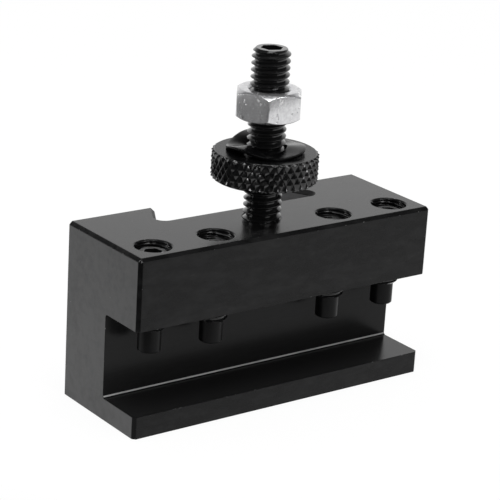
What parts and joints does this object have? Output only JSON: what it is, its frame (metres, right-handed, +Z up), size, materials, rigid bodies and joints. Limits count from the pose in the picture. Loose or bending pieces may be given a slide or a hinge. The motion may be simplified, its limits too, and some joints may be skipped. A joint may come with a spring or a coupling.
{
  "type": "quick change tool holder",
  "caption": "Dovetail tool holder for a lathe's quick change tool post, with a slot for a square tool, clamping screws and a stud with a knurled height nut and a lock nut.",
  "frame": {"origin": "middle of the block's underside", "axes": "+X along the tool, +Y from the tool slot to the dovetail, +Z up"},
  "size_m": [0.054, 0.0198, 0.054],
  "materials": {
    "block_finish": "ground steel, black oxide, lightly oiled",
    "screw_finish": "alloy steel, black oxide, satin",
    "knurl_finish": "turned and diamond-knurled steel, black oxide",
    "washer_finish": "spring steel, glossy black",
    "zinc_finish": "bright zinc plate with small scratches and dents"
  },
  "bodies": {
    "holder": {"holder_block": "block_finish", "height_stud": "screw_finish"},
    "height_adjuster": {"height_nut": "knurl_finish", "spring_washer": "washer_finish"},
    "locking_nut": {"lock_nut": "zinc_finish"},
    "clamp_screw_1": {"set_screw_1": "screw_finish"},
    "clamp_screw_2": {"set_screw_2": "screw_finish"},
    "clamp_screw_3": {"set_screw_3": "screw_finish"},
    "clamp_screw_4": {"set_screw_4": "screw_finish"}
  },
  "joints": [
    {"name": "height_nut_travel", "type": "slide", "parent": "holder", "child": "height_adjuster", "axis": [0, 0, 1], "range_m": [-0.00605, 0.0045]},
    {"name": "lock_nut_travel", "type": "slide", "parent": "height_adjuster", "child": "locking_nut", "axis": [0, 0, 1], "range_m": [-0.00325, 0.0035]},
    {"name": "clamp_screw_1_travel", "type": "slide", "parent": "holder", "child": "clamp_screw_1", "axis": [0, 0, 1], "range_m": [-0.00815, 0.00495]},
    {"name": "clamp_screw_2_travel", "type": "slide", "parent": "holder", "child": "clamp_screw_2", "axis": [0, 0, 1], "range_m": [-0.0076, 0.0055]},
    {"name": "clamp_screw_3_travel", "type": "slide", "parent": "holder", "child": "clamp_screw_3", "axis": [0, 0, 1], "range_m": [-0.0076, 0.0055]},
    {"name": "clamp_screw_4_travel", "type": "slide", "parent": "holder", "child": "clamp_screw_4", "axis": [0, 0, 1], "range_m": [-0.00795, 0.00515]}
  ]
}
